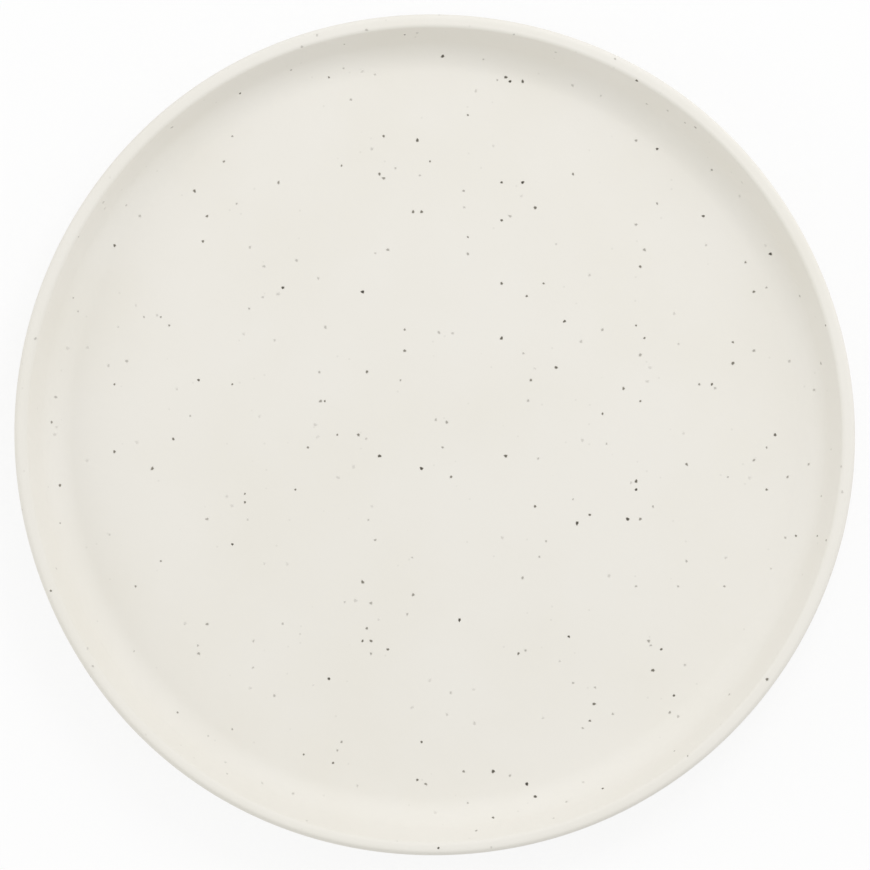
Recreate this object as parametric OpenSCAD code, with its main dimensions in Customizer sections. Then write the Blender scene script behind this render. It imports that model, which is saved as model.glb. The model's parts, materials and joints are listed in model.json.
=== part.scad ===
// Coupe dinner plate with a flat well, a short coved wall and a round lip.
// Ivory glaze with iron specks covers a stoneware body, all but its bare foot ring.
// The origin is on the table, under the middle of the plate.

/* [Plate] */
// Diameter over the lip
plate_d = 270; // [160:1:320]
// Height from the table to the top of the lip
plate_h = 23; // [20:0.5:34]

/* [Well and wall] */
// Thickness of the floor outside the foot ring, with its glaze
floor_t = 6; // [4:0.1:8]
// Slope of the wall, up from the floor
wall_angle = 62; // [45:1:72]
// Thickness of the wall with its glaze
wall_t = 5.4; // [4:0.1:6.5]
// Radius of the lip's inner edge, tighter than the round outside its crest
lip_edge_r = 1.2; // [1:0.1:1.8]
// Radius of the cove between the floor and the wall
cove_r = 11.5; // [8:0.5:18]
// Radius of the bend under the wall
bend_r = 17; // [10:0.5:24]

/* [Foot ring] */
// Distance in from the edge of the plate to the foot ring
foot_inset = 42; // [30:1:70]
// Width of the foot ring at the table
foot_w = 5; // [3:0.1:9]
// Height of the glazed underside outside the foot ring
foot_h = 2.6; // [2:0.1:5]
// Height of the glazed recess inside the foot ring
recess_h = 2.4; // [1.9:0.1:4]
// Lean of the foot ring's sides from upright
foot_lean = 14; // [0:1:25]
// Radius of the hollow where the foot ring meets the underside
foot_root_r = 1; // [0.4:0.1:1.4]
// Radius of the foot ring's lower edges
foot_edge_r = 0.6; // [0.2:0.1:0.9]

/* [Glaze] */
// Thickness of the glaze
glaze_t = 0.45; // [0.3:0.05:0.8]
// Height on the foot ring's sides at which the glaze stops
glaze_stop_h = 1; // [0.7:0.05:1.2]

/* [Specks] */
// Diameter of a large iron grain
large_speck_d = 0.95; // [0.6:0.05:1.2]
// Diameter of a small iron grain
small_speck_d = 0.6; // [0.3:0.05:0.8]
// Diameter of an iron grain on the outside of the wall
outside_speck_d = 0.7; // [0.4:0.05:1]
// Number of iron grains on the outside of the wall
outside_speck_n = 54; // [12:1:90]
// Clearance round and under a grain in its pocket
speck_gap = 0.03; // [0.01:0.01:0.08]

/* [Hidden] */

// Steps in each arc of the section, sides of the turned shapes as drawn, and sides of a grain
arc_steps = 14;
turn_steps = 180;
grain_sides = 5;

// Depths in the glaze of a grain's top and of its bottom, just over the clay
speck_top_share = 0.15;
speck_top = glaze_t * speck_top_share;
speck_bottom = glaze_t - speck_gap;
// How far a pocket is cut past both sides of the glaze
overrun = glaze_t;

// Large grains on the face, right and up from the middle, as shares of the plate's radius
large_speck_shares = [
    [-0.46, 0.81], [0.02, 0.90], [0.17, 0.85], [0.18, 0.84], [0.21, 0.84], [0.48, 0.84],
    [-0.12, 0.71], [-0.04, 0.70], [0.53, 0.68], [0.16, 0.60], [0.21, 0.60], [-0.57, 0.58],
    [0.24, 0.54], [0.64, 0.52], [0.16, 0.51], [-0.76, 0.45], [0.80, 0.43], [0.16, 0.36],
    [-0.36, 0.35], [-0.17, 0.34], [0.76, 0.34], [0.31, 0.27], [0.16, 0.23], [0.71, 0.17],
    [0.29, 0.16], [-0.56, 0.13], [0.66, 0.12], [0.40, 0.05], [0.81, 0.00], [0.17, -0.05],
    [-0.13, -0.05], [-0.03, -0.08], [-0.67, -0.08], [0.48, -0.11], [0.48, -0.13],
    [0.79, -0.13], [0.37, -0.19], [0.46, -0.20], [0.34, -0.21], [-0.48, -0.26],
    [-0.17, -0.35], [-0.91, -0.37], [0.06, -0.44], [0.32, -0.48], [-0.17, -0.49],
    [0.54, -0.51], [0.52, -0.56], [-0.25, -0.58], [0.57, -0.62], [0.38, -0.64],
    [-0.03, -0.73], [-0.24, -0.78], [0.14, -0.80], [-0.04, -0.82], [0.22, -0.83],
    [0.40, -0.84], [0.24, -0.86], [0.01, -0.98]
];

// Small grains on the face, given in the same way
small_speck_shares = [
    [-0.07, 0.95], [-0.25, 0.85], [0.08, 0.76], [0.62, 0.73], [-0.48, 0.71], [0.48, 0.70],
    [-0.50, 0.65], [-0.01, 0.65], [-0.22, 0.64], [0.66, 0.63], [-0.13, 0.62], [0.33, 0.62],
    [-0.12, 0.61], [-0.37, 0.60], [0.07, 0.58], [0.53, 0.55], [-0.05, 0.53], [-0.03, 0.53],
    [-0.54, 0.52], [0.18, 0.52], [0.48, 0.50], [0.08, 0.47], [-0.55, 0.46], [-0.11, 0.44],
    [0.50, 0.44], [0.08, 0.43], [0.74, 0.41], [0.49, 0.40], [0.26, 0.36], [0.79, 0.35],
    [0.22, 0.33], [0.87, 0.33], [-0.44, 0.30], [-0.65, 0.28], [-0.69, 0.28], [-0.63, 0.26],
    [0.48, 0.26], [0.93, 0.26], [-0.07, 0.25], [0.40, 0.25], [0.50, 0.23], [0.71, 0.22],
    [-0.07, 0.20], [0.76, 0.20], [0.49, 0.19], [0.92, 0.17], [-0.16, 0.15], [-0.08, 0.13],
    [0.23, 0.13], [-0.76, 0.12], [-0.48, 0.12], [0.63, 0.12], [0.45, 0.11], [-0.90, 0.09],
    [-0.27, 0.08], [-0.26, 0.08], [0.49, 0.08], [-0.91, 0.03], [0.03, 0.03], [-0.23, 0.00],
    [-0.18, 0.00], [-0.62, -0.01], [-0.30, -0.03], [0.02, -0.03], [0.79, -0.03],
    [-0.76, -0.04], [0.76, -0.06], [0.60, -0.07], [0.89, -0.07], [0.04, -0.10],
    [0.84, -0.10], [-0.89, -0.12], [-0.33, -0.13], [-0.45, -0.14], [-0.45, -0.16],
    [0.24, -0.17], [0.52, -0.17], [-0.54, -0.20], [0.49, -0.20], [-0.89, -0.21],
    [0.86, -0.24], [0.91, -0.24], [-0.14, -0.25], [0.93, -0.25], [0.25, -0.29],
    [-0.65, -0.30], [0.60, -0.30], [0.21, -0.34], [-0.71, -0.36], [0.48, -0.36],
    [0.58, -0.36], [0.69, -0.36], [-0.05, -0.38], [-0.15, -0.40], [-0.54, -0.45],
    [-0.16, -0.46], [-0.15, -0.49], [0.51, -0.49], [-0.11, -0.51],
    [-0.15, -0.52], [-0.56, -0.52], [0.20, -0.52], [0.79, -0.58], [0.33, -0.59],
    [-0.38, -0.62], [-0.61, -0.66], [0.56, -0.66], [0.58, -0.67], [0.37, -0.68],
    [-0.48, -0.70], [-0.22, -0.73], [-0.23, -0.75], [0.57, -0.75], [-0.31, -0.76],
    [0.60, -0.76], [0.07, -0.80], [0.18, -0.81], [-0.02, -0.83], [0.14, -0.91], [0.10, -0.94]
];

// Grains on the outside drift from even spacing and lie at any height on the wall,
// as shares of that spacing and of the wall's length
most_drift_share = 0.8;
outside_drift_shares = rands(0, most_drift_share, outside_speck_n, 41);
outside_climb_shares = rands(0, 1, outside_speck_n, 7);

// The section lies across the plate's axis: distance from the axis, then height
plate_r = plate_d / 2;
floor_z = foot_h + floor_t;
wall_out = [sin(wall_angle), -cos(wall_angle)];

// The lip's outer round, which touches the outside of the wall and meets the inner edge
// at the lip's crest
lip_r = (wall_t - lip_edge_r * (1 - cos(wall_angle))) / (1 + cos(wall_angle));
lip_centre = [plate_r - lip_r, plate_h - lip_r];
lip_edge_centre = [lip_centre[0], plate_h - lip_edge_r];

// Centres of the cove, which touches the floor and the inside of the wall,
// and of the bend, which touches the underside and the outside of the wall
function curve_centre(z, offset) =
    [lip_centre[0] + ((z - lip_centre[1]) * cos(wall_angle) + offset) / sin(wall_angle), z];
cove_centre = curve_centre(floor_z + cove_r, lip_r - wall_t - cove_r);
bend_centre = curve_centre(foot_h + bend_r, lip_r - bend_r);

// Ends of the straight stretches of the wall, inside and outside
inside_low = cove_centre + cove_r * wall_out;
inside_high = lip_edge_centre - lip_edge_r * wall_out;
outside_low = bend_centre + bend_r * wall_out;
outside_high = lip_centre + lip_r * wall_out;

// The foot ring's sides at a height, under a coat, on the outer side (1) or the inner (-1)
foot_mid_r = plate_r - foot_inset - foot_w / 2;
function foot_side_r(side, z, coat) =
    foot_mid_r + side * (foot_w / 2 + coat / cos(foot_lean) + z * tan(foot_lean));
function root_centre(side, z) =
    [foot_side_r(side, z - foot_root_r, glaze_t) + side * foot_root_r / cos(foot_lean), z - foot_root_r];
function edge_centre(side) =
    [foot_side_r(side, foot_edge_r, 0) - side * foot_edge_r / cos(foot_lean), foot_edge_r];
function glaze_end(side, inset) = [foot_side_r(side, glaze_stop_h, glaze_t - inset), glaze_stop_h];

// Points along an arc, or all but its first where it goes on from another arc
function arc(centre, radius, first, last, start = 0) =
    [for (i = [start : arc_steps])
        let (a = first + (last - first) * i / arc_steps)
        centre + radius * [cos(a), sin(a)]];
function backwards(path) = [for (i = [len(path) - 1 : -1 : 0]) path[i]];

// The surface from the middle of the well, over the lip and under the wall, to where the
// glaze stops on the outer side of the foot ring, and the same surface set in under the glaze
function face_path(inset) = concat(
    [[0, floor_z - inset]],
    arc(cove_centre, cove_r + inset, -90, wall_angle - 90),
    arc(lip_edge_centre, lip_edge_r - inset, wall_angle + 90, 90),
    arc(lip_centre, lip_r - inset, 90, wall_angle - 90, 1),
    arc(bend_centre, bend_r - inset, wall_angle - 90, -90),
    arc(root_centre(1, foot_h), foot_root_r + inset, 90, 180 - foot_lean),
    [glaze_end(1, inset)]
);

// The surface of the recess, from its middle to where the glaze stops on the inner side
function base_path(inset) = concat(
    [[0, recess_h + inset]],
    arc(root_centre(-1, recess_h), foot_root_r + inset, 90, foot_lean),
    [glaze_end(-1, inset)]
);

// The bare underside of the foot ring, from the outer side to the inner
foot_path = concat(
    arc(edge_centre(1), foot_edge_r, -foot_lean, -90),
    arc(edge_centre(-1), foot_edge_r, -90, foot_lean - 180)
);

// The lip's radius, and the face's slope and height, at a distance from the axis
function crest_r(r) = r < lip_centre[0] ? lip_edge_r : lip_r;
function face_slope(r) =
    r < cove_centre[0] ? 0
    : r < inside_low[0] ? asin((r - cove_centre[0]) / cove_r)
    : r < inside_high[0] ? wall_angle
    : acos((r - lip_centre[0]) / crest_r(r)) - 90;
function face_z(r) =
    r < cove_centre[0] ? floor_z
    : r < inside_low[0] ? cove_centre[1] - cove_r * cos(face_slope(r))
    : r < inside_high[0] ? inside_low[1] + (r - inside_low[0]) * tan(wall_angle)
    : plate_h - crest_r(r) * (1 - cos(face_slope(r)));

// Where a grain lies: its distance from the axis, height, turn and slope
function face_place(share) =
    let (r = plate_r * norm(share))
    [r, face_z(r), atan2(share[1], share[0]), face_slope(r)];
function outside_place(i) =
    let (p = outside_low + outside_climb_shares[i] * (outside_high - outside_low))
    [p[0], p[1], 360 * (i + outside_drift_shares[i]) / outside_speck_n, wall_angle - 180];
large_places = [for (share = large_speck_shares) face_place(share)];
small_places = [for (share = small_speck_shares) face_place(share)];
outside_places = [for (i = [0 : outside_speck_n - 1]) outside_place(i)];

module turned(path) {
    rotate_extrude($fn = turn_steps)
        polygon(path);
}

module coat(surface, backing) {
    turned(concat(surface, backwards(backing)));
}

// Pegs square to the surface, from a depth under it to a height over it
module pegs(places, d, depth, height) {
    for (p = places)
        rotate([0, 0, p[2]])
            translate([p[0], 0, p[1]])
                rotate([0, -p[3], 0])
                    translate([0, 0, -depth])
                        cylinder(d = d, h = depth + height, $fn = grain_sides);
}

module grains(places, d) {
    pegs(places, d, speck_bottom, -speck_top);
}

module pockets(places, d) {
    pegs(places, d + 2 * speck_gap, glaze_t + overrun, overrun);
}

module clay_body() {
    color("tan")
        turned(concat(face_path(glaze_t), foot_path, backwards(base_path(glaze_t))));
}

module face_glaze() {
    color("ivory")
        difference() {
            coat(face_path(0), face_path(glaze_t));
            pockets(large_places, large_speck_d);
            pockets(small_places, small_speck_d);
            pockets(outside_places, outside_speck_d);
        }
}

module base_glaze() {
    color("ivory")
        coat(base_path(0), base_path(glaze_t));
}

module large_specks() {
    color("darkslategray")
        grains(large_places, large_speck_d);
}

module small_specks() {
    color("dimgray")
        grains(small_places, small_speck_d);
}

module outside_specks() {
    color("dimgray")
        grains(outside_places, outside_speck_d);
}

clay_body();
face_glaze();
base_glaze();
large_specks();
small_specks();
outside_specks();
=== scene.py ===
import json
import math
import random

import bmesh
import bpy
from bpy.props import FloatProperty, FloatVectorProperty, IntProperty, PointerProperty
from mathutils import Euler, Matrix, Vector, noise
from mathutils.bvhtree import BVHTree


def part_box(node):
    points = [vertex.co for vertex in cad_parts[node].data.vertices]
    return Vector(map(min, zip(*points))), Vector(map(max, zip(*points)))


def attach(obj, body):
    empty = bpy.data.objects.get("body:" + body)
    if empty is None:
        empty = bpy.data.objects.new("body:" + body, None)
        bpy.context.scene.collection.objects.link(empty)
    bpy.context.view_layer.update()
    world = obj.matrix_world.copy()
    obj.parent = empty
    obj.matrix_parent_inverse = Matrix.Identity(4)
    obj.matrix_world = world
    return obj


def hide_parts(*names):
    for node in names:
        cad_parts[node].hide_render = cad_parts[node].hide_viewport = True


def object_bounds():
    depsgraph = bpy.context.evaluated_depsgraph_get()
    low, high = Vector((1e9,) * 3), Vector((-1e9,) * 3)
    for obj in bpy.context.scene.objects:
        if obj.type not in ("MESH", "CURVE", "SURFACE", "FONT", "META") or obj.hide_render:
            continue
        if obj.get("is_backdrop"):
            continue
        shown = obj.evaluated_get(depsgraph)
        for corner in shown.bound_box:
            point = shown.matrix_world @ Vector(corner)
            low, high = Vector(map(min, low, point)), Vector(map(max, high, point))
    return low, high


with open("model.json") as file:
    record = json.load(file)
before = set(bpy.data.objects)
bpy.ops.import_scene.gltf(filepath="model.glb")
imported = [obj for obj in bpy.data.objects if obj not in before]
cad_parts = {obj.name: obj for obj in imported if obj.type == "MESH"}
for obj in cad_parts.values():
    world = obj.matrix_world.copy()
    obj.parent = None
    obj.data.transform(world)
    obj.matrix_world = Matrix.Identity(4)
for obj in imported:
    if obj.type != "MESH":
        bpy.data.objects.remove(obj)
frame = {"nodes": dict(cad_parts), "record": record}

bl_info = {
    "name": "Speckled Coupe Plate",
    "version": (1, 0, 0),
    "blender": (4, 5, 0),
    "location": "View3D > Sidebar > Plate",
    "description": "Turns a stoneware plate, glazes it, seeds its iron specks and sets its studio",
    "category": "Add Mesh",
}

# The packed plate's box and mounts
CAD_LOW, CAD_HIGH = (tuple(corner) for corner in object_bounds())
MOUNTS = {mount["name"]: mount["pos_m"] for mount in frame["record"]["mounts"]}

QUARTER = math.pi / 2
HALF = math.pi
WHOLE = math.tau

# How finely the section is followed and turned
ARC_TURN = math.radians(4)
STRAIGHT_STEP = 0.0035
TURNS = 288
ON_AXIS = 1e-7

# Lobes round the rim: how many, the turn at which one stands out, and their share of the largest
RIM_LOBES = (
    (2, math.radians(111), 1.0),
    (3, math.radians(1), 0.86),
    (4, math.radians(49), 0.83),
    (6, math.radians(57), 0.66),
)
# How far the whole rim sits in, as a share of the largest lobe, and how fast lobes fade inwards
RIM_SETBACK = 1.0
RIM_POWER = 4
# Turn of one of the lip's two crests, and the share of the dip that is left there
LIP_CREST = math.radians(35)
LIP_LEAST_DIP = 0.3
# Turn at which the lip is rolled most, how fast that fades round it, and the most that the lip
# falls inside the rolled crest, as a share of its fall at the edge
ROLL_MIDDLE = math.radians(222)
ROLL_POWER = 3
ROLL_INSIDE = 0.83
# The well's ripples, which fade out from this share of the floor's radius
WELL_RIPPLES_PER_METRE = 26
WELL_RIPPLE_SHARE = 0.7
# Waves of the glaze's edge, and the turning marks on the foot with the points along each
GLAZE_EDGE_WAVES = 5
TURNING_RINGS = 6
TURNING_RING_STEPS = 6

# A grain's rings from its middle outwards: share of its width, of its iron and of its rise
GRAIN_SPOKES = 14
GRAIN_RINGS = ((0.3, 1.0, 0.95), (0.55, 0.9, 0.8), (0.78, 0.45, 0.4), (1.0, 0.0, 0.0))
GRAIN_RISE_SHARE = 0.05
GRAIN_DEPTH_SHARE = 0.3
# Ranges of a grain's size and stretch and of the swells in its outline, and the swells' lobes
GRAIN_SIZES = (0.8, 1.2)
GRAIN_STRETCHES = (1.0, 1.25)
GRAIN_SWELLS = (0.04, 0.15)
GRAIN_LOBES = (2, 3, 5)
# Ranges of the iron's strength in each kind of grain, from none at 0 to a dark core at 1
LARGE_IRON = (0.45, 1.0)
SMALL_IRON = (0.22, 0.55)
OUTSIDE_IRON = (0.25, 0.90)
FAINT_IRON = (0.07, 0.26)
# Distance under which a grain's points are one, and the step to which places are rounded
# before they are sorted
SAME_POINT = 1e-6
SORT_STEP = 1e-5

# Patterns of the glaze, in waves or cells per metre, with their shares and relief
MOTTLES_PER_METRE = 24
WARM_MOTTLE, PALE_MOTTLE = 0.3, 0.62
PEPPER_PER_METRE = 260
PEPPER_WIDTH = 0.12
PEPPER_KEPT = 0.3
PEPPER_STAIN = 0.10
GLAZE_SHEEN_PER_METRE = 90
GLAZE_SHEEN_SPREAD = 0.05
GLAZE_RELIEF_PER_METRE = 420
GLAZE_RELIEF_DEPTH = 0.00002

# Patterns of the bare clay, and the heights between which its edge turns toasted
CLAY_CLOUDS_PER_METRE = 700
CLAY_DARK_SHARE = 0.72
CLAY_GRIT_PER_METRE = 1300
CLAY_GRIT_WIDTH = 0.3
CLAY_GRIT_KEPT = 0.12
CLAY_RELIEF_PER_METRE = 2400
CLAY_RELIEF_DEPTH = 0.00006
TOAST_LOW, TOAST_HIGH = 0.0005, 0.0012
TOAST_SHARE = 0.8

# Strengths at which iron shows as rust and as a core, and the sheen of its surface
RUST_AT, CORE_AT = 0.45, 0.95
IRON_SHEEN_PER_METRE = 4000
IRON_ROUGHNESS = (0.45, 0.6)

# Core of a scattered grain of grit as a share of its width, and the step between kept cells
GRIT_CORE_SHARE = 0.5
GRIT_STEP = 0.01
# Ranges of a noise's values, nearly all of them and the usual ones
NOISE_WIDE = (0.25, 0.75)
NOISE_USUAL = (0.3, 0.7)
# Sockets for the two colours and the result of a mix node, whose names repeat
MIX_FIRST, MIX_SECOND, MIX_RESULT = 6, 7, 2

# Grey of the floor, and the share of the plate's radius inside which it keeps its full shadow
FLOOR_GREY = 0.9
UNDER_PLATE_SHARE = 0.85

# The photograph's frame, the plate's width in it and its middle, in pixels
PHOTO_WIDTH = 870
PLATE_WIDTH = 843
PLATE_MIDDLE = (434.2, 434.8)


class PlateSizes(bpy.types.PropertyGroup):
    """Sizes of the plate's turned section"""

    diameter: FloatProperty(
        name="Diameter", description="Diameter over the lip",
        default=CAD_HIGH[0] - CAD_LOW[0], unit="LENGTH", precision=5)
    height: FloatProperty(
        name="Height", description="Height from the table to the top of the lip",
        default=CAD_HIGH[2], unit="LENGTH", precision=5)
    well_height: FloatProperty(
        name="Well height", description="Height of the well's floor over the table",
        default=MOUNTS["well"][2], unit="LENGTH", precision=5)
    wall_slope: FloatProperty(
        name="Wall slope", description="Slope of the wall, up from the floor",
        default=math.radians(62), subtype="ANGLE")
    wall_thickness: FloatProperty(
        name="Wall thickness", description="Thickness of the wall with its glaze",
        default=0.0054, unit="LENGTH", precision=5)
    lip_edge_radius: FloatProperty(
        name="Lip edge radius", description="Radius of the packed lip inside its crest",
        default=0.0012, unit="LENGTH", precision=5)
    brim_radius: FloatProperty(
        name="Brim radius",
        description="Radius from the lip's level top down to the wall inside it",
        default=0.0016, unit="LENGTH", precision=5)
    crown_inset: FloatProperty(
        name="Crown inset", description="Distance from the plate's edge to the lip's level top",
        default=0.0022, unit="LENGTH", precision=5)
    crown_radius: FloatProperty(
        name="Crown radius", description="Radius of the lip's gentle fall outside its level top",
        default=0.008, unit="LENGTH", precision=5)
    crown_turn: FloatProperty(
        name="Crown turn", description="How far the lip's top turns down before its outer edge",
        default=math.radians(6), subtype="ANGLE")
    cove_radius: FloatProperty(
        name="Cove radius", description="Radius of the cove between the floor and the wall",
        default=0.0115, unit="LENGTH", precision=5)
    bend_radius: FloatProperty(
        name="Bend radius", description="Radius of the bend under the wall",
        default=0.017, unit="LENGTH", precision=5)
    underside_height: FloatProperty(
        name="Underside height", description="Height of the underside outside the foot ring",
        default=0.0026, unit="LENGTH", precision=5)
    recess_height: FloatProperty(
        name="Recess height", description="Height of the recess inside the foot ring",
        default=0.0024, unit="LENGTH", precision=5)
    foot_middle: FloatProperty(
        name="Foot middle", description="Distance from the axis to the middle of the foot ring",
        default=MOUNTS["foot"][0], unit="LENGTH", precision=5)
    foot_width: FloatProperty(
        name="Foot width", description="Width of the foot ring at the table",
        default=0.005, unit="LENGTH", precision=5)
    foot_lean: FloatProperty(
        name="Foot lean", description="Lean of the foot ring's sides from upright",
        default=math.radians(14), subtype="ANGLE")
    root_radius: FloatProperty(
        name="Root radius", description="Radius where the foot ring meets the underside",
        default=0.001, unit="LENGTH", precision=5)
    edge_radius: FloatProperty(
        name="Edge radius", description="Radius of the foot ring's lower edges",
        default=0.0006, unit="LENGTH", precision=5)
    glaze_thickness: FloatProperty(
        name="Glaze thickness", description="Thickness of the glaze",
        default=0.00045, unit="LENGTH", precision=5)
    glaze_stop: FloatProperty(
        name="Glaze stop", description="Height on the foot ring at which the glaze stops",
        default=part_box("face_glaze")[0].z, unit="LENGTH", precision=5)
    out_of_round: FloatProperty(
        name="Out of round", description="How far the largest lobes of the rim stand out and in",
        default=0.00019, unit="LENGTH", precision=6)
    lip_dip: FloatProperty(
        name="Lip dip", description="How far the lip dips between its two crests",
        default=0.00030, unit="LENGTH", precision=6)
    lip_roll: FloatProperty(
        name="Lip roll", description="How far the lip's edge falls where its top is rolled round",
        default=0.00067, unit="LENGTH", precision=6)
    roll_inset: FloatProperty(
        name="Roll inset", description="Distance from the plate's edge to the rolled lip's crest",
        default=0.00165, unit="LENGTH", precision=6)
    well_ripple: FloatProperty(
        name="Well ripple", description="Unevenness of the well's floor",
        default=0.00004, unit="LENGTH", precision=6)
    glaze_wander: FloatProperty(
        name="Glaze wander", description="How far the wiped edge of the glaze strays up the foot",
        default=0.00040, unit="LENGTH", precision=6)
    turning_depth: FloatProperty(
        name="Turning depth", description="Depth of the turning marks on the foot ring",
        default=0.00004, unit="LENGTH", precision=6)


class PlateFinish(bpy.types.PropertyGroup):
    """Colours and gloss of the glaze, the clay and the iron"""

    ivory: FloatVectorProperty(
        name="Ivory", description="Colour of the glaze",
        default=(0.832, 0.808, 0.755), subtype="COLOR", min=0, max=1)
    warm_ivory: FloatVectorProperty(
        name="Warm ivory", description="Colour of the glaze where the clay shows through it",
        default=(0.817, 0.791, 0.729), subtype="COLOR", min=0, max=1)
    glaze_roughness: FloatProperty(
        name="Glaze roughness", description="Roughness of the satin glaze",
        default=0.62, min=0, max=1, subtype="FACTOR")
    buff: FloatVectorProperty(
        name="Buff", description="Colour of the bare clay",
        default=(0.47, 0.35, 0.235), subtype="COLOR", min=0, max=1)
    toasted: FloatVectorProperty(
        name="Toasted", description="Colour of the clay along the glaze's edge",
        default=(0.30, 0.165, 0.08), subtype="COLOR", min=0, max=1)
    clay_roughness: FloatProperty(
        name="Clay roughness", description="Roughness of the bare clay",
        default=0.9, min=0, max=1, subtype="FACTOR")
    rust: FloatVectorProperty(
        name="Rust", description="Colour of iron that has bled into the glaze",
        default=(0.205, 0.190, 0.152), subtype="COLOR", min=0, max=1)
    iron: FloatVectorProperty(
        name="Iron", description="Colour of a grain's core",
        default=(0.032, 0.027, 0.019), subtype="COLOR", min=0, max=1)


class PlateSpecks(bpy.types.PropertyGroup):
    """Sizes and number of the iron specks"""

    large_width: FloatProperty(
        name="Large speck", description="Width of a large speck with its stain",
        default=0.00106, unit="LENGTH", precision=5)
    small_width: FloatProperty(
        name="Small speck", description="Width of a small speck with its stain",
        default=0.00097, unit="LENGTH", precision=5)
    outside_width: FloatProperty(
        name="Outside speck", description="Width of a speck on the outside or under the plate",
        default=0.00095, unit="LENGTH", precision=5)
    faint_width: FloatProperty(
        name="Faint speck", description="Width of a speck that barely shows through the glaze",
        default=0.00095, unit="LENGTH", precision=5)
    faint_count: IntProperty(
        name="Faint specks", description="Number of specks that barely show",
        default=270, min=0)
    under_count: IntProperty(
        name="Specks under the plate", description="Number of specks outside the foot ring",
        default=50, min=0)
    recess_count: IntProperty(
        name="Specks in the recess", description="Number of specks inside the foot ring",
        default=75, min=0)
    seed: IntProperty(
        name="Seed", description="Start of the random draws for the specks' outlines and places",
        default=11)


class PlateStudio(bpy.types.PropertyGroup):
    """Light, floor and camera"""

    ambient: FloatProperty(
        name="Ambient", description="Strength of the light from all round",
        default=0.706, min=0)
    ambient_colour: FloatVectorProperty(
        name="Ambient colour", description="Colour of the light from all round",
        default=(1.0, 0.997, 0.970), subtype="COLOR", min=0, max=1)
    key_power: FloatProperty(
        name="Key power", description="Power of the main soft light",
        default=5.95, min=0, unit="POWER")
    key_colour: FloatVectorProperty(
        name="Key colour", description="Colour of the main soft light",
        default=(0.945, 0.955, 1.0), subtype="COLOR", min=0, max=1)
    key_turn: FloatProperty(
        name="Key turn", description="Turn of the main light from the photograph's right",
        default=math.radians(60), subtype="ANGLE")
    key_climb: FloatProperty(
        name="Key climb", description="Height of the main light as an angle",
        default=math.radians(50), subtype="ANGLE")
    right_power: FloatProperty(
        name="Right power", description="Power of the light on the photograph's right",
        default=2.02, min=0, unit="POWER")
    right_turn: FloatProperty(
        name="Right turn", description="Turn of the right light from the photograph's right",
        default=math.radians(30), subtype="ANGLE")
    left_power: FloatProperty(
        name="Left power", description="Power of the light on the photograph's left",
        default=2.93, min=0, unit="POWER")
    side_climb: FloatProperty(
        name="Side climb", description="Height of the two side lights as an angle",
        default=math.radians(28), subtype="ANGLE")
    light_distance: FloatProperty(
        name="Light distance", description="Distance of each soft light",
        default=1.5, unit="LENGTH")
    light_size: FloatProperty(
        name="Light size", description="Side of each soft light",
        default=0.6, unit="LENGTH")
    floor_size: FloatProperty(
        name="Floor size", description="Side of the floor",
        default=8.0, unit="LENGTH")
    under_white: FloatProperty(
        name="White under plate", description="Share of plain white in the floor under the plate",
        default=0.3, min=0, max=1, subtype="FACTOR")
    floor_white: FloatProperty(
        name="White round plate", description="Share of plain white in the floor round the plate",
        default=0.85, min=0, max=1, subtype="FACTOR")
    shadow_reach: FloatProperty(
        name="Shadow reach", description="Distance from the axis beyond which the floor is white",
        default=0.34, unit="LENGTH")
    lens: FloatProperty(
        name="Lens", description="Focal length of the camera in millimetres",
        default=800.0, min=1, unit="CAMERA")


def arc(centre, radius, first, last, side=1):
    """Points along a round stretch, mirrored for a side of -1"""
    steps = max(2, math.ceil(abs(last - first) / ARC_TURN))
    turns = [first + (last - first) * step / steps for step in range(steps + 1)]
    return [centre + radius * Vector((side * math.cos(turn), math.sin(turn))) for turn in turns]


def joined(*stretches):
    """One path through stretches of points, with more points on its long straights"""
    corners = [corner for stretch in stretches for corner in stretch]
    path = [corners[0]]
    for corner in corners[1:]:
        start = path[-1]
        steps = max(1, math.ceil((corner - start).length / STRAIGHT_STEP))
        path.extend(start.lerp(corner, step / steps) for step in range(1, steps + 1))
    return path


def eased(value, low, high):
    """A share from 0 to 1 that rises smoothly between two values"""
    share = min(max((value - low) / (high - low), 0.0), 1.0)
    return share * share * (3 - 2 * share)


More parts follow.
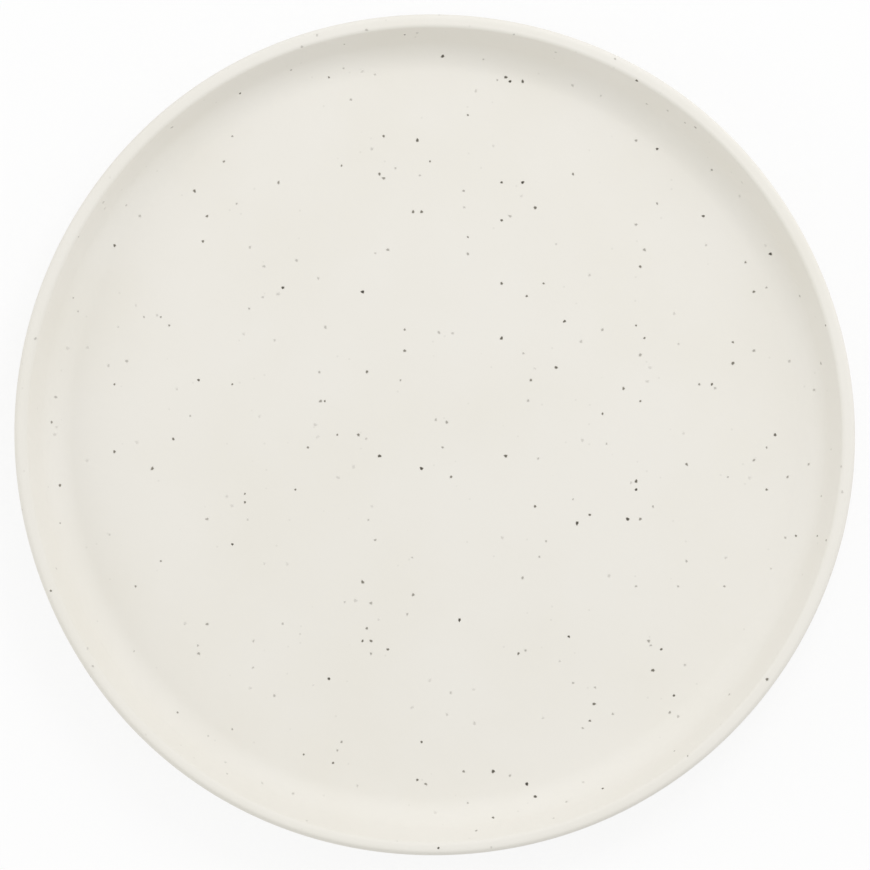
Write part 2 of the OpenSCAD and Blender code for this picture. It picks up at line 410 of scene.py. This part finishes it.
class Section:
    """The plate's turned section: each point is a distance from the axis and a height"""

    def __init__(self, sizes):
        self.sizes = sizes
        self.radius = sizes.diameter / 2
        level, steep = math.cos(sizes.wall_slope), math.sin(sizes.wall_slope)
        # The packed lip's outer round, which sets where the wall lies
        inner = sizes.lip_edge_radius
        self.lip_radius = (sizes.wall_thickness - inner * (1 - level)) / (1 + level)
        self.lip = Vector((self.radius - self.lip_radius, sizes.height - self.lip_radius))
        # The lip's level top, with the brim inside it and the crown and shoulder outside it
        shift = (sizes.brim_radius - inner) * (1 - level) / steep
        self.brim = Vector((self.lip.x + shift, sizes.height - sizes.brim_radius))
        self.crown = Vector((self.radius - sizes.crown_inset, sizes.height - sizes.crown_radius))
        outward = math.sin(sizes.crown_turn)
        spare = sizes.crown_inset - sizes.crown_radius * outward
        self.shoulder_radius = spare / (1 - outward)
        reach = sizes.crown_radius - self.shoulder_radius
        self.shoulder = self.crown + reach * Vector((outward, math.cos(sizes.crown_turn)))
        # The curve under the shoulder, which runs into the outside of the wall
        lift = self.shoulder.y - self.lip.y
        self.under_lip_radius = self.lip_radius + lift * level / (1 - steep)
        self.under_lip = Vector((self.radius - self.under_lip_radius, self.shoulder.y))
        # The cove inside the wall and the bend under it
        self.cove = self.curve_centre(
            sizes.well_height + sizes.cove_radius,
            self.lip_radius - sizes.wall_thickness - sizes.cove_radius)
        self.bend = self.curve_centre(
            sizes.underside_height + sizes.bend_radius, self.lip_radius - sizes.bend_radius)

    def curve_centre(self, height, offset):
        """Centre of a curve that runs into the wall, offset from the lip's line along the wall"""
        slope = self.sizes.wall_slope
        along = (height - self.lip.y) * math.cos(slope)
        return Vector((self.lip.x + (along + offset) / math.sin(slope), height))

    def foot_side(self, side, height, coat):
        """Point on the foot ring's outer (1) or inner (-1) side, under a coat"""
        sizes = self.sizes
        lean = sizes.foot_lean
        half = sizes.foot_width / 2 + coat / math.cos(lean) + height * math.tan(lean)
        return Vector((sizes.foot_middle + side * half, height))

    def foot_root(self, side, height, inset):
        """Hollow where the foot ring meets the underside or the recess"""
        sizes = self.sizes
        centre = self.foot_side(side, height - sizes.root_radius, sizes.glaze_thickness)
        centre.x += side * sizes.root_radius / math.cos(sizes.foot_lean)
        return arc(centre, sizes.root_radius + inset, QUARTER, HALF - sizes.foot_lean, side)

    def foot_edge(self, side):
        """Rounded lower edge of the foot ring, from its side to its underside"""
        sizes = self.sizes
        centre = self.foot_side(side, sizes.edge_radius, 0)
        centre.x -= side * sizes.edge_radius / math.cos(sizes.foot_lean)
        return arc(centre, sizes.edge_radius, -sizes.foot_lean, -QUARTER, side)

    def glaze_edge(self, side):
        """Rolled edge at which the glaze stops, from its surface to the clay"""
        sizes = self.sizes
        centre = self.foot_side(side, sizes.glaze_stop + sizes.glaze_thickness, 0)
        first = -sizes.foot_lean
        return arc(centre, sizes.glaze_thickness, first, first - QUARTER, side)

    def glaze_backing(self, side):
        """Point on the clay at which the glaze stops"""
        return [self.foot_side(side, self.sizes.glaze_stop, 0)]

    def face(self, inset):
        """From the middle of the well, over the lip and under the wall, to the foot ring"""
        sizes = self.sizes
        up = sizes.wall_slope + QUARTER
        down = sizes.wall_slope - QUARTER
        crown_end = QUARTER - sizes.crown_turn
        return joined(
            [Vector((0, sizes.well_height - inset))],
            arc(self.cove, sizes.cove_radius + inset, -QUARTER, down),
            arc(self.brim, sizes.brim_radius - inset, up, QUARTER),
            arc(self.crown, sizes.crown_radius - inset, QUARTER, crown_end),
            arc(self.shoulder, self.shoulder_radius - inset, crown_end, 0)[1:],
            arc(self.under_lip, self.under_lip_radius - inset, 0, down)[1:],
            arc(self.bend, sizes.bend_radius - inset, down, -QUARTER),
            self.foot_root(1, sizes.underside_height, inset),
            self.glaze_backing(1) if inset else self.glaze_edge(1),
        )

    def underside(self):
        """The lower part of the face's path, from under the wall to the foot ring"""
        return [spot for spot in self.face(0) if spot.y < self.sizes.well_height / 2]

    def base(self, inset):
        """From the middle of the recess to the inner side of the foot ring"""
        sizes = self.sizes
        return joined(
            [Vector((0, sizes.recess_height + inset))],
            self.foot_root(-1, sizes.recess_height, inset),
            self.glaze_backing(-1) if inset else self.glaze_edge(-1),
        )

    def foot(self):
        """Bare underside of the foot ring with its turning marks, from outside to inside"""
        outer = self.foot_edge(1)
        inner = self.foot_edge(-1)[::-1]
        steps = TURNING_RINGS * TURNING_RING_STEPS
        marks = []
        for step in range(1, steps):
            share = step / steps
            spot = outer[-1].lerp(inner[0], share)
            spot.y += self.sizes.turning_depth * math.sin(share * TURNING_RINGS * HALF) ** 2
            marks.append(spot)
        return outer + marks + inner

    def rim_sway(self, spot, turn):
        """How far a point stands out for the rim's lobes"""
        rim = (spot.x / self.radius) ** RIM_POWER
        sway = sum(share * math.cos(lobes * (turn - at)) for lobes, at, share in RIM_LOBES)
        return self.sizes.out_of_round * rim * (sway - RIM_SETBACK)

    def lip_dip(self, turn):
        """How far the lip dips at a turn"""
        share = LIP_LEAST_DIP + (1 - math.cos(2 * (turn - LIP_CREST))) / 2
        return self.sizes.lip_dip * share

    def lip_roll(self, spot, turn):
        """How far a point of the lip falls where its top is rolled round"""
        out = (spot.x - self.radius) / self.sizes.roll_inset + 1
        fall = out * out
        if out < 0:
            fall = ROLL_INSIDE * (1 - math.exp(-fall / ROLL_INSIDE))
        near = ((1 + math.cos(turn - ROLL_MIDDLE)) / 2) ** ROLL_POWER
        return self.sizes.lip_roll * near * fall

    def lip_fall(self, spot, turn):
        """How far a point of the wall falls with the lip's dip and roll"""
        climb = eased(spot.y, self.sizes.well_height, self.sizes.height)
        return climb * (self.lip_dip(turn) + self.lip_roll(spot, turn))

    def well_rise(self, spot, around):
        """How far a point of the floor rises in the well's ripples"""
        sizes = self.sizes
        top = eased(spot.y, sizes.recess_height + sizes.glaze_thickness, sizes.well_height)
        inside = 1 - eased(spot.x, self.cove.x * WELL_RIPPLE_SHARE, self.cove.x)
        ripple = noise.noise(around * spot.x * WELL_RIPPLES_PER_METRE)
        return sizes.well_ripple * top * inside * ripple

    def glaze_lift(self, spot, around):
        """How far a point on the foot ring's side moves up with the wandering edge of the glaze"""
        sizes = self.sizes
        wander = (noise.noise(around * GLAZE_EDGE_WAVES) + 1) / 2 * sizes.glaze_wander
        edge = sizes.glaze_stop + sizes.glaze_thickness
        near_edge = 1 - eased(spot.y, edge, sizes.recess_height)
        on_foot = eased(spot.y, sizes.glaze_stop - sizes.edge_radius, sizes.glaze_stop)
        return wander * near_edge * on_foot

    def fired(self, spot, turn):
        """Where a point lies after the kiln, which leaves the plate a little uneven"""
        sizes = self.sizes
        around = Vector((math.cos(turn), math.sin(turn), 0))
        lift = self.glaze_lift(spot, around)
        side = math.copysign(1, spot.x - sizes.foot_middle)
        height = spot.y - self.lip_fall(spot, turn) + self.well_rise(spot, around) + lift
        reach = spot.x + side * lift * math.tan(sizes.foot_lean) + self.rim_sway(spot, turn)
        return Vector((reach * around.x, reach * around.y, height))

    def turned(self, path):
        """Points and faces of a path turned about the plate's axis"""
        points = []
        rings = []
        for spot in path:
            count = 1 if spot.x < ON_AXIS else TURNS
            rings.append(range(len(points), len(points) + count))
            points.extend(self.fired(spot, WHOLE * step / TURNS) for step in range(count))
        faces = []
        for near, far in zip(rings, rings[1:]):
            for step in range(TURNS):
                after = (step + 1) % TURNS
                corners = (
                    near[step % len(near)], far[step % len(far)],
                    far[after % len(far)], near[after % len(near)],
                )
                faces.append(tuple(dict.fromkeys(corners)))
        return points, faces


class GlazeSkin:
    """The glaze's surface, for seating grains on it"""

    def __init__(self, section, path):
        self.section = section
        self.path = path
        self.tree = BVHTree.FromPolygons(*section.turned(path))

    def seat(self, place):
        """Nearest point of the surface, and the way it faces"""
        spot, normal, _, _ = self.tree.find_nearest(place)
        if spot is None:
            raise RuntimeError(f"no glaze lies near {tuple(place)}")
        return spot, normal

    def scatter(self, count, draw):
        """Places spread evenly over the surface by random draws"""
        bands = list(zip(self.path, self.path[1:]))
        areas = [(near.x + far.x) * (far - near).length for near, far in bands]
        places = []
        for near, far in draw.choices(bands, areas, k=count):
            spot = near.lerp(far, draw.random())
            places.append(self.section.fired(spot, draw.uniform(0, WHOLE)))
        return places


def grain_middles(node):
    """Middles of a packed node's separate grains, in an order that no packing changes"""
    mesh = bmesh.new()
    mesh.from_mesh(frame["nodes"][node].data)
    bmesh.ops.remove_doubles(mesh, verts=mesh.verts, dist=SAME_POINT)
    left = set(mesh.verts)
    middles = []
    while left:
        grain = [left.pop()]
        # The list grows while it is followed
        for vert in grain:
            beside = {edge.other_vert(vert) for edge in vert.link_edges} & left
            left -= beside
            grain.extend(beside)
        corners = [vert.co for vert in grain]
        low = Vector(map(min, zip(*corners)))
        high = Vector(map(max, zip(*corners)))
        middles.append((low + high) / 2)
    mesh.free()
    if not middles:
        raise RuntimeError(f"the packed node {node} holds no grains")
    return sorted(middles, key=lambda middle: [round(value / SORT_STEP) for value in middle])


def add_grain(mesh, iron, skin, place, width, strength, draw):
    """An uneven closed grain, seated on the glaze and stained less towards its edge"""
    spot, normal = skin.seat(place)
    across = normal.orthogonal().normalized()
    along = normal.cross(across)
    stretch = draw.uniform(*GRAIN_STRETCHES)
    lean = draw.uniform(0, WHOLE)
    swells = [
        (lobes, draw.uniform(*GRAIN_SWELLS), draw.uniform(0, WHOLE)) for lobes in GRAIN_LOBES
    ]
    rise = width * GRAIN_RISE_SHARE

    top = mesh.verts.new(spot + normal * rise)
    top[iron] = strength
    rings = []
    for width_share, iron_share, rise_share in GRAIN_RINGS:
        ring = []
        for spoke in range(GRAIN_SPOKES):
            turn = WHOLE * spoke / GRAIN_SPOKES
            swell = 1 + sum(size * math.cos(lobes * turn + at) for lobes, size, at in swells)
            reach = width / 2 * width_share * swell
            long = reach * math.cos(turn) * math.sqrt(stretch)
            short = reach * math.sin(turn) / math.sqrt(stretch)
            right = long * math.cos(lean) - short * math.sin(lean)
            ahead = long * math.sin(lean) + short * math.cos(lean)
            foot, facing = skin.seat(spot + across * right + along * ahead)
            vert = mesh.verts.new(foot + facing * rise * rise_share)
            vert[iron] = strength * iron_share
            ring.append(vert)
        rings.append(ring)
    under = mesh.verts.new(spot - normal * width * GRAIN_DEPTH_SHARE)

    for spoke in range(GRAIN_SPOKES):
        after = (spoke + 1) % GRAIN_SPOKES
        mesh.faces.new((top, rings[0][spoke], rings[0][after]))
        for near, far in zip(rings, rings[1:]):
            mesh.faces.new((near[spoke], far[spoke], far[after], near[after]))
        mesh.faces.new((under, rings[-1][after], rings[-1][spoke]))


def grain_mesh(name, skin, places, width, strengths, draw):
    """One mesh of grains whose widths and strengths vary"""
    mesh = bmesh.new()
    iron = mesh.verts.layers.float.new("iron")
    for place in places:
        size = width * draw.uniform(*GRAIN_SIZES)
        add_grain(mesh, iron, skin, place, size, draw.uniform(*strengths), draw)
    data = bpy.data.meshes.new(name)
    mesh.to_mesh(data)
    mesh.free()
    return data


def turned_mesh(name, section, path):
    """A mesh of a closed path turned about the plate's axis"""
    points, faces = section.turned(path)
    data = bpy.data.meshes.new(name)
    data.from_pydata(points, [], faces)
    return data


def add_piece(name, data, material, slot, *nodes):
    """A piece that rides on the plate and stands for packed nodes, if it names any"""
    piece = bpy.data.objects.new(name, data)
    bpy.context.scene.collection.objects.link(piece)
    data.materials.append(material)
    data.shade_smooth()
    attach(piece, "root")
    if nodes:
        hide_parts(*nodes)


def colour(value):
    """A colour with its alpha"""
    return (*value, 1.0)


def grey(level):
    """A grey of a level, which is white at 1"""
    return (level, level, level)


def new_material(name):
    """A new material, its node tree and its shader"""
    material = bpy.data.materials.new(name)
    material.use_nodes = True
    return material, material.node_tree, material.node_tree.nodes["Principled BSDF"]


def add_node(tree, kind, sockets=None, **settings):
    """A node with values on its sockets and its own settings"""
    made = tree.nodes.new(kind)
    for name, value in settings.items():
        setattr(made, name, value)
    for name, value in (sockets or {}).items():
        made.inputs[name].default_value = value
    return made


def add_noise(tree, place, scale, detail):
    """Noise over the piece, with its scale in waves per metre"""
    made = add_node(tree, "ShaderNodeTexNoise", {"Scale": scale, "Detail": detail})
    tree.links.new(place, made.inputs["Vector"])
    return made.outputs["Fac"]


def add_ramp(tree, value, *stops):
    """Colours blended along a value"""
    made = tree.nodes.new("ShaderNodeValToRGB")
    elements = made.color_ramp.elements
    while len(elements) < len(stops):
        elements.new(1.0)
    for element, (at, shade) in zip(elements, stops):
        element.position = at
        element.color = colour(shade)
    tree.links.new(value, made.inputs["Fac"])
    return made.outputs["Color"]


def add_range(tree, value, old, new):
    """A value brought from one range to another"""
    made = add_node(tree, "ShaderNodeMapRange", {
        "From Min": old[0], "From Max": old[1], "To Min": new[0], "To Max": new[1]})
    tree.links.new(value, made.inputs["Value"])
    return made.outputs["Result"]


def add_product(tree, first, second):
    """Two values multiplied"""
    made = add_node(tree, "ShaderNodeMath", operation="MULTIPLY")
    tree.links.new(first, made.inputs[0])
    tree.links.new(second, made.inputs[1])
    return made.outputs["Value"]


def add_mix(tree, share, first, second):
    """A node's colour turned towards a plain one by a share"""
    made = add_node(tree, "ShaderNodeMix", data_type="RGBA")
    tree.links.new(share, made.inputs["Factor"])
    tree.links.new(first, made.inputs[MIX_FIRST])
    made.inputs[MIX_SECOND].default_value = colour(second)
    return made.outputs[MIX_RESULT]


def add_bump(tree, shader, height, depth):
    """Relief of a depth in metres"""
    made = add_node(tree, "ShaderNodeBump", {"Strength": 1.0, "Distance": depth})
    tree.links.new(height, made.inputs["Height"])
    tree.links.new(made.outputs["Normal"], shader.inputs["Normal"])


def add_grit(tree, place, scale, width, kept):
    """A share that marks scattered grains, of a width in cells, in the kept share of cells"""
    cells = add_node(tree, "ShaderNodeTexVoronoi", {"Scale": scale})
    tree.links.new(place, cells.inputs["Vector"])
    lot = add_node(tree, "ShaderNodeSeparateColor")
    tree.links.new(cells.outputs["Color"], lot.inputs["Color"])
    chosen = add_range(tree, lot.outputs["Red"], (1 - kept, 1 - kept + GRIT_STEP), (0, 1))
    grain = add_range(tree, cells.outputs["Distance"], (width * GRIT_CORE_SHARE, width), (1, 0))
    return add_product(tree, chosen, grain)


def ivory_glaze(finish):
    """Satin ivory glaze, faintly mottled and peppered"""
    material, tree, shader = new_material("satin_ivory")
    place = add_node(tree, "ShaderNodeTexCoord").outputs["Object"]
    mottle = add_noise(tree, place, MOTTLES_PER_METRE, detail=3)
    base = add_ramp(tree, mottle, (WARM_MOTTLE, finish.warm_ivory), (PALE_MOTTLE, finish.ivory))
    pepper = add_grit(tree, place, PEPPER_PER_METRE, PEPPER_WIDTH, PEPPER_KEPT)
    stain = add_range(tree, pepper, (0, 1), (0, PEPPER_STAIN))
    base = add_mix(tree, stain, base, finish.rust)
    tree.links.new(base, shader.inputs["Base Color"])
    sheen = add_noise(tree, place, GLAZE_SHEEN_PER_METRE, detail=4)
    low = finish.glaze_roughness - GLAZE_SHEEN_SPREAD
    high = finish.glaze_roughness + GLAZE_SHEEN_SPREAD
    tree.links.new(add_range(tree, sheen, NOISE_WIDE, (low, high)), shader.inputs["Roughness"])
    relief = add_noise(tree, place, GLAZE_RELIEF_PER_METRE, detail=3)
    add_bump(tree, shader, relief, GLAZE_RELIEF_DEPTH)
    return material


def bare_stoneware(finish):
    """Dry buff clay with fine grit, toasted along the edge of the glaze"""
    material, tree, shader = new_material("dry_buff_clay")
    place = add_node(tree, "ShaderNodeTexCoord").outputs["Object"]
    dark = [value * CLAY_DARK_SHARE for value in finish.buff]
    clouds = add_noise(tree, place, CLAY_CLOUDS_PER_METRE, detail=6)
    low, high = NOISE_USUAL
    base = add_ramp(tree, clouds, (low, dark), (high, finish.buff))
    grit = add_grit(tree, place, CLAY_GRIT_PER_METRE, CLAY_GRIT_WIDTH, CLAY_GRIT_KEPT)
    base = add_mix(tree, grit, base, finish.iron)
    height = add_node(tree, "ShaderNodeSeparateXYZ")
    tree.links.new(place, height.inputs["Vector"])
    edge = add_range(tree, height.outputs["Z"], (TOAST_LOW, TOAST_HIGH), (0, TOAST_SHARE))
    base = add_mix(tree, edge, base, finish.toasted)
    tree.links.new(base, shader.inputs["Base Color"])
    shader.inputs["Roughness"].default_value = finish.clay_roughness
    relief = add_noise(tree, place, CLAY_RELIEF_PER_METRE, detail=4)
    add_bump(tree, shader, relief, CLAY_RELIEF_DEPTH)
    return material


def iron_grain(name, finish):
    """Iron that fades from a dark core to the glaze's ivory"""
    material, tree, shader = new_material(name)
    iron = add_node(tree, "ShaderNodeAttribute", attribute_name="iron").outputs["Fac"]
    base = add_ramp(
        tree, iron, (0, finish.ivory), (RUST_AT, finish.rust), (CORE_AT, finish.iron))
    tree.links.new(base, shader.inputs["Base Color"])
    place = add_node(tree, "ShaderNodeTexCoord").outputs["Object"]
    sheen = add_noise(tree, place, IRON_SHEEN_PER_METRE, detail=2)
    rough = add_range(tree, sheen, NOISE_USUAL, IRON_ROUGHNESS)
    tree.links.new(rough, shader.inputs["Roughness"])
    return material


def add_soft_light(name, power, turn, climb, studio):
    """A square soft light that faces the plate"""
    light = bpy.data.lights.new(name, "AREA")
    light.energy = power
    light.size = studio.light_size
    lamp = bpy.data.objects.new(name, light)
    lamp.rotation_euler = Euler((QUARTER - climb, 0, turn + QUARTER))
    lamp.visible_camera = False
    level = studio.light_distance * math.cos(climb)
    height = studio.light_distance * math.sin(climb)
    lamp.location = (level * math.cos(turn), level * math.sin(turn), height)
    bpy.context.scene.collection.objects.link(lamp)
    return lamp


def add_seen(tree):
    """One for what the camera sees, straight or in gloss or glass, and none for other rays"""
    path = add_node(tree, "ShaderNodeLightPath")
    glossy = add_node(tree, "ShaderNodeMath", operation="MAXIMUM")
    tree.links.new(path.outputs["Is Camera Ray"], glossy.inputs[0])
    tree.links.new(path.outputs["Is Glossy Ray"], glossy.inputs[1])
    clear = add_node(tree, "ShaderNodeMath", operation="MAXIMUM")
    tree.links.new(glossy.outputs["Value"], clear.inputs[0])
    tree.links.new(path.outputs["Is Transmission Ray"], clear.inputs[1])
    return clear.outputs["Value"]


def pale_floor(studio, rim):
    """Floor with the plate's shadow, full under it and faint round it, and white further out"""
    material, tree, shader = new_material("pale_floor")
    shader.inputs["Base Color"].default_value = colour(grey(FLOOR_GREY))
    shader.inputs["Roughness"].default_value = 1.0
    shader.inputs["Specular IOR Level"].default_value = 0.0
    white = add_node(tree, "ShaderNodeEmission", {"Color": colour(grey(1)), "Strength": 1.0})
    shown = add_node(tree, "ShaderNodeMixShader")
    place = add_node(tree, "ShaderNodeTexCoord").outputs["Object"]
    reach = add_node(tree, "ShaderNodeVectorMath", operation="LENGTH")
    tree.links.new(place, reach.inputs["Vector"])
    out = add_range(tree, reach.outputs["Value"], (0, studio.shadow_reach), (0, 1))
    edge = rim / studio.shadow_reach
    share = add_ramp(
        tree, out,
        (edge * UNDER_PLATE_SHARE, grey(studio.under_white)),
        (edge, grey(studio.floor_white)),
        (1, grey(1)))
    tree.links.new(add_product(tree, add_seen(tree), share), shown.inputs["Fac"])
    tree.links.new(shader.outputs["BSDF"], shown.inputs[1])
    tree.links.new(white.outputs["Emission"], shown.inputs[2])
    tree.links.new(shown.outputs["Shader"], tree.nodes["Material Output"].inputs["Surface"])
    return material


def white_world(studio):
    """Even light from all round, that shows as plain white"""
    world = bpy.data.worlds.new("white_studio")
    world.use_nodes = True
    tree = world.node_tree
    ambient = tree.nodes["Background"]
    ambient.inputs["Color"].default_value = colour(studio.ambient_colour)
    ambient.inputs["Strength"].default_value = studio.ambient
    white = add_node(tree, "ShaderNodeBackground", {"Color": colour(grey(1)), "Strength": 1.0})
    shown = add_node(tree, "ShaderNodeMixShader")
    tree.links.new(add_seen(tree), shown.inputs["Fac"])
    tree.links.new(ambient.outputs["Background"], shown.inputs[1])
    tree.links.new(white.outputs["Background"], shown.inputs[2])
    tree.links.new(shown.outputs["Shader"], tree.nodes["World Output"].inputs["Surface"])
    return world


def add_floor(studio, section):
    """Floor at the plate's foot"""
    mesh = bmesh.new()
    bmesh.ops.create_grid(mesh, x_segments=1, y_segments=1, size=studio.floor_size / 2)
    data = bpy.data.meshes.new("studio_floor")
    mesh.to_mesh(data)
    mesh.free()
    data.materials.append(pale_floor(studio, section.radius))
    floor = bpy.data.objects.new("studio_floor", data)
    bpy.context.scene.collection.objects.link(floor)
    floor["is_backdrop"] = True


def add_camera(studio, section):
    """Camera straight over the plate, framed as the photograph is"""
    lens = bpy.data.cameras.new("overhead_camera")
    lens.lens = studio.lens
    pixel = section.sizes.diameter / PLATE_WIDTH
    distance = PHOTO_WIDTH * pixel * lens.lens / lens.sensor_width
    camera = bpy.data.objects.new("overhead_camera", lens)
    right = (PHOTO_WIDTH / 2 - PLATE_MIDDLE[0]) * pixel
    up = (PLATE_MIDDLE[1] - PHOTO_WIDTH / 2) * pixel
    camera.location = (right, up, section.shoulder.y + distance)
    bpy.context.scene.collection.objects.link(camera)
    bpy.context.scene.camera = camera


class PLATE_OT_turn_body(bpy.types.Operator):
    """Turn the stoneware body with its bare foot ring"""

    bl_idname = "plate.turn_body"
    bl_label = "Turn Stoneware Body"

    def execute(self, context):
        section = Section(context.scene.plate_sizes)
        coat = section.sizes.glaze_thickness
        path = joined(section.face(coat), section.foot(), section.base(coat)[::-1])
        data = turned_mesh("stoneware_body", section, path)
        clay = bare_stoneware(context.scene.plate_finish)
        add_piece("stoneware_body", data, clay, "bare_stoneware", "clay_body")
        return {"FINISHED"}


class PLATE_OT_coat_glaze(bpy.types.Operator):
    """Coat the face, the outside and the recess with glaze"""

    bl_idname = "plate.coat_glaze"
    bl_label = "Coat with Glaze"

    def execute(self, context):
        section = Section(context.scene.plate_sizes)
        glaze = ivory_glaze(context.scene.plate_finish)
        coat = section.sizes.glaze_thickness
        for name, path, node in (
            ("face_glaze_coat", section.face, "face_glaze"),
            ("base_glaze_coat", section.base, "base_glaze"),
        ):
            data = turned_mesh(name, section, path(0) + path(coat)[::-1])
            # The coat in the recess faces down, so its path runs the other way round
            if node == "base_glaze":
                data.flip_normals()
            add_piece(name, data, glaze, "ivory_glaze", node)
        return {"FINISHED"}


class PLATE_OT_seed_specks(bpy.types.Operator):
    """Seat the iron specks where the packed grains lie"""

    bl_idname = "plate.seed_specks"
    bl_label = "Seed Iron Specks"

    def execute(self, context):
        section = Section(context.scene.plate_sizes)
        specks = context.scene.plate_specks
        finish = context.scene.plate_finish
        skin = GlazeSkin(section, section.face(0))
        dark = iron_grain("dark_iron", finish)
        brown = iron_grain("brown_iron", finish)
        for name, node, slot, iron, width, strengths in (
            ("dark_iron_specks", "large_specks", "dark_iron_grain", dark,
             specks.large_width, LARGE_IRON),
            ("brown_iron_specks", "small_specks", "brown_iron_grain", brown,
             specks.small_width, SMALL_IRON),
            ("outside_iron_specks", "outside_specks", "brown_iron_grain", brown,
             specks.outside_width, OUTSIDE_IRON),
        ):
            draw = random.Random(f"{specks.seed} {node}")
            data = grain_mesh(name, skin, grain_middles(node), width, strengths, draw)
            add_piece(name, data, iron, slot, node)
        return {"FINISHED"}


class PLATE_OT_dust_specks(bpy.types.Operator):
    """Scatter specks that barely show through the glaze"""

    bl_idname = "plate.dust_specks"
    bl_label = "Dust Faint Specks"

    def execute(self, context):
        section = Section(context.scene.plate_sizes)
        specks = context.scene.plate_specks
        iron = iron_grain("faint_iron", context.scene.plate_finish)
        draw = random.Random(f"{specks.seed} faint")
        skin = GlazeSkin(section, section.face(0))
        places = skin.scatter(specks.faint_count, draw)
        name = "faint_iron_specks"
        data = grain_mesh(name, skin, places, specks.faint_width, FAINT_IRON, draw)
        add_piece(name, data, iron, "brown_iron_grain")
        return {"FINISHED"}


class PLATE_OT_seed_underside(bpy.types.Operator):
    """Scatter iron specks under the plate, outside and inside its foot ring"""

    bl_idname = "plate.seed_underside"
    bl_label = "Seed Specks Under Plate"

    def execute(self, context):
        section = Section(context.scene.plate_sizes)
        specks = context.scene.plate_specks
        iron = iron_grain("under_iron", context.scene.plate_finish)
        for name, path, count in (
            ("under_iron_specks", section.underside(), specks.under_count),
            ("recess_iron_specks", section.base(0)[::-1], specks.recess_count),
        ):
            draw = random.Random(f"{specks.seed} {name}")
            skin = GlazeSkin(section, path)
            places = skin.scatter(count, draw)
            data = grain_mesh(name, skin, places, specks.outside_width, OUTSIDE_IRON, draw)
            add_piece(name, data, iron, "brown_iron_grain")
        return {"FINISHED"}


class PLATE_OT_set_studio(bpy.types.Operator):
    """Lay the floor, light the plate and stand the camera over it"""

    bl_idname = "plate.set_studio"
    bl_label = "Set Studio"

    def execute(self, context):
        studio = context.scene.plate_studio
        section = Section(context.scene.plate_sizes)
        context.scene.view_settings.view_transform = "Standard"
        context.scene.world = white_world(studio)
        add_floor(studio, section)
        key = add_soft_light(
            "key_light", studio.key_power, studio.key_turn, studio.key_climb, studio)
        key.data.color = studio.key_colour
        add_soft_light(
            "right_light", studio.right_power, studio.right_turn, studio.side_climb, studio)
        add_soft_light("left_light", studio.left_power, HALF, studio.side_climb, studio)
        add_camera(studio, section)
        return {"FINISHED"}


class PLATE_PT_maker(bpy.types.Panel):
    """The plate's sizes, finishes and steps"""

    bl_idname = "PLATE_PT_maker"
    bl_label = "Speckled Plate"
    bl_space_type = "VIEW_3D"
    bl_region_type = "UI"
    bl_category = "Plate"

    def draw(self, context):
        for group in GROUPS:
            box = self.layout.box()
            box.label(text=group.__doc__)
            values = getattr(context.scene, GROUPS[group])
            for name in group.__annotations__:
                box.prop(values, name)
        for step in STEPS:
            self.layout.operator(step.bl_idname)


GROUPS = {
    PlateSizes: "plate_sizes",
    PlateFinish: "plate_finish",
    PlateSpecks: "plate_specks",
    PlateStudio: "plate_studio",
}
STEPS = (
    PLATE_OT_turn_body,
    PLATE_OT_coat_glaze,
    PLATE_OT_seed_specks,
    PLATE_OT_dust_specks,
    PLATE_OT_seed_underside,
    PLATE_OT_set_studio,
)


def register():
    """Make the plate's values, steps and panel known"""
    for cls in (*GROUPS, *STEPS, PLATE_PT_maker):
        bpy.utils.register_class(cls)
    for group, name in GROUPS.items():
        setattr(bpy.types.Scene, name, PointerProperty(type=group))


def unregister():
    """Take the plate's values, steps and panel away"""
    for name in GROUPS.values():
        delattr(bpy.types.Scene, name)
    for cls in reversed((*GROUPS, *STEPS, PLATE_PT_maker)):
        bpy.utils.unregister_class(cls)


def main():
    """Make the plate and its studio"""
    register()
    bpy.ops.plate.turn_body()
    bpy.ops.plate.coat_glaze()
    bpy.ops.plate.seed_specks()
    bpy.ops.plate.dust_specks()
    bpy.ops.plate.seed_underside()
    bpy.ops.plate.set_studio()


if __name__ == "__main__":
    main()
